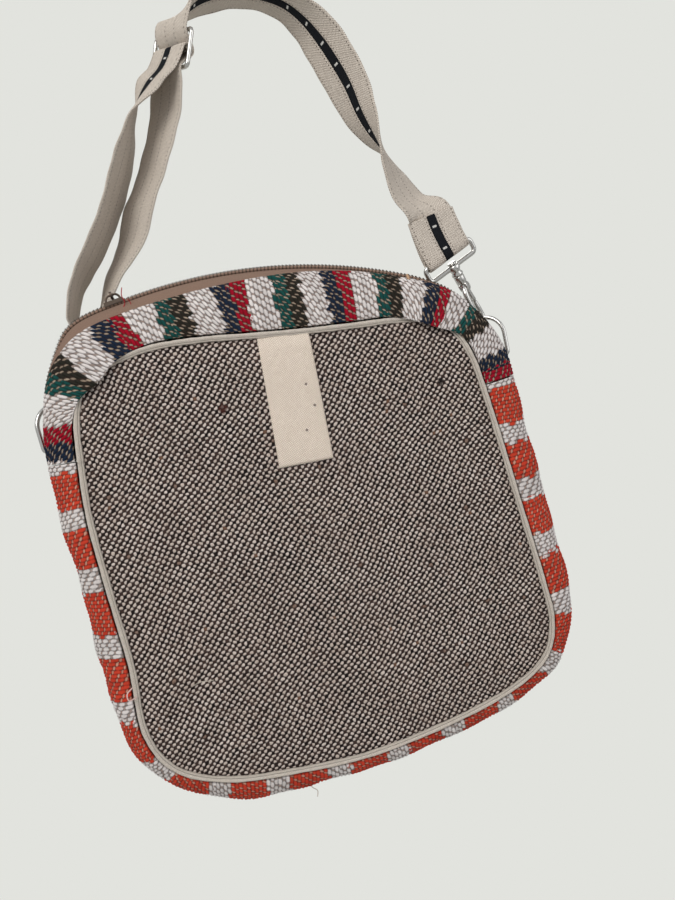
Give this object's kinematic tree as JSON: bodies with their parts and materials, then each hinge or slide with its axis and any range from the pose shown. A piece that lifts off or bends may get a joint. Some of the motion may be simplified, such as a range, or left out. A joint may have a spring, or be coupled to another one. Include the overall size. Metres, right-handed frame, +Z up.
{
  "type": "woven shoulder bag",
  "caption": "Flat square shoulder bag of hand-woven wool, zipped over the top, hanging empty from an adjustable linen strap on swivel snap hooks.",
  "frame": {"origin": "underside of the strap at the top of its arch, where the bag is held up", "axes": "+Z up, the front panel faces -Y, +X to the right seen from the front"},
  "size_m": [0.3432, 0.0854, 0.5496],
  "materials": {
    "tweed": "dark brown and cream plain-weave tweed",
    "striped_wool": "herringbone in cream, teal, black, navy and red",
    "orange_wool": "herringbone in orange-red and white",
    "linen": "natural linen",
    "black_band": "black woven band with white marks",
    "zip_tape": "mauve-brown woven tape",
    "bronze": "dark bronze",
    "nickel": "polished nickel"
  },
  "bodies": {
    "bag": {"gusset_upper_front": "striped_wool", "gusset_upper_rear": "striped_wool", "gusset_lower": "orange_wool", "piping_front": "linen", "piping_rear": "linen", "panel_front": "tweed", "panel_rear": "tweed", "patch_tab": "linen", "zip_tape_front": "zip_tape", "zip_tape_rear": "zip_tape", "zip_teeth_front": "bronze", "zip_teeth_rear": "bronze", "ring_tab_left": "linen", "ring_tab_right": "linen", "strap": "linen", "strap_inlay": "black_band", "strap_slide": "nickel"},
    "zip_slider": {"zip_slider": "bronze"},
    "zip_puller": {"zip_puller": "bronze"},
    "ring_left": {"d_ring_left": "nickel"},
    "loop_left": {"swivel_loop_left": "nickel"},
    "hook_left": {"snap_hook_left": "nickel", "gate_pin_left": "nickel"},
    "gate_left": {"hook_gate_left": "nickel"},
    "ring_right": {"d_ring_right": "nickel"},
    "loop_right": {"swivel_loop_right": "nickel"},
    "hook_right": {"snap_hook_right": "nickel", "gate_pin_right": "nickel"},
    "gate_right": {"hook_gate_right": "nickel"}
  },
  "joints": [
    {"name": "zip_travel", "type": "hinge", "parent": "bag", "child": "zip_slider", "pos_m": [-0.06, -0.01, -0.5414], "axis": [0, 1, 0], "range_deg": [0, 34]},
    {"name": "zip_puller_swing", "type": "hinge", "parent": "zip_slider", "child": "zip_puller", "pos_m": [-0.12294, -0.01, -0.18535], "axis": [0.9895, 0, 0.1444], "range_deg": [0, 30]},
    {"name": "ring_left_swing", "type": "hinge", "parent": "bag", "child": "ring_left", "pos_m": [-0.18075, 0.01166, -0.27685], "axis": [-0.8693, -0.4944, 0], "range_deg": [-1.5, 1.5]},
    {"name": "loop_left_swing", "type": "hinge", "parent": "bag", "child": "loop_left", "pos_m": [-0.15395, 0.02458, -0.19862], "axis": [-0.0626, 0.9791, -0.1935], "range_deg": [-1, 1]},
    {"name": "hook_left_swivel", "type": "hinge", "parent": "loop_left", "child": "hook_left", "pos_m": [-0.15395, 0.02458, -0.19862], "axis": [0.4969, 0.1988, 0.8447], "range_deg": [-12, 12]},
    {"name": "gate_left_open", "type": "hinge", "parent": "hook_left", "child": "gate_left", "pos_m": [-0.17018, 0.02149, -0.22326], "axis": [-0.7145, -0.4588, 0.5282], "range_deg": [0, 25], "stiffness_Nm_per_rad": 0.02, "springref_deg": -17.19},
    {"name": "ring_right_swing", "type": "hinge", "parent": "bag", "child": "ring_right", "pos_m": [0.13275, 0.00847, -0.28468], "axis": [-0.8142, 0.5806, 0], "range_deg": [-1.5, 1.5]},
    {"name": "loop_right_swing", "type": "hinge", "parent": "bag", "child": "loop_right", "pos_m": [0.11289, -0.00629, -0.20485], "axis": [0.9168, -0.0031, 0.3994], "range_deg": [-1, 1]},
    {"name": "hook_right_swivel", "type": "hinge", "parent": "loop_right", "child": "hook_right", "pos_m": [0.11289, -0.00629, -0.20485], "axis": [-0.3817, -0.3013, 0.8738], "range_deg": [-12, 12]},
    {"name": "gate_right_open", "type": "hinge", "parent": "hook_right", "child": "gate_right", "pos_m": [0.12579, 0.0049, -0.22912], "axis": [-0.7695, 0.6274, -0.1198], "range_deg": [0, 25], "stiffness_Nm_per_rad": 0.02, "springref_deg": -17.19}
  ]
}
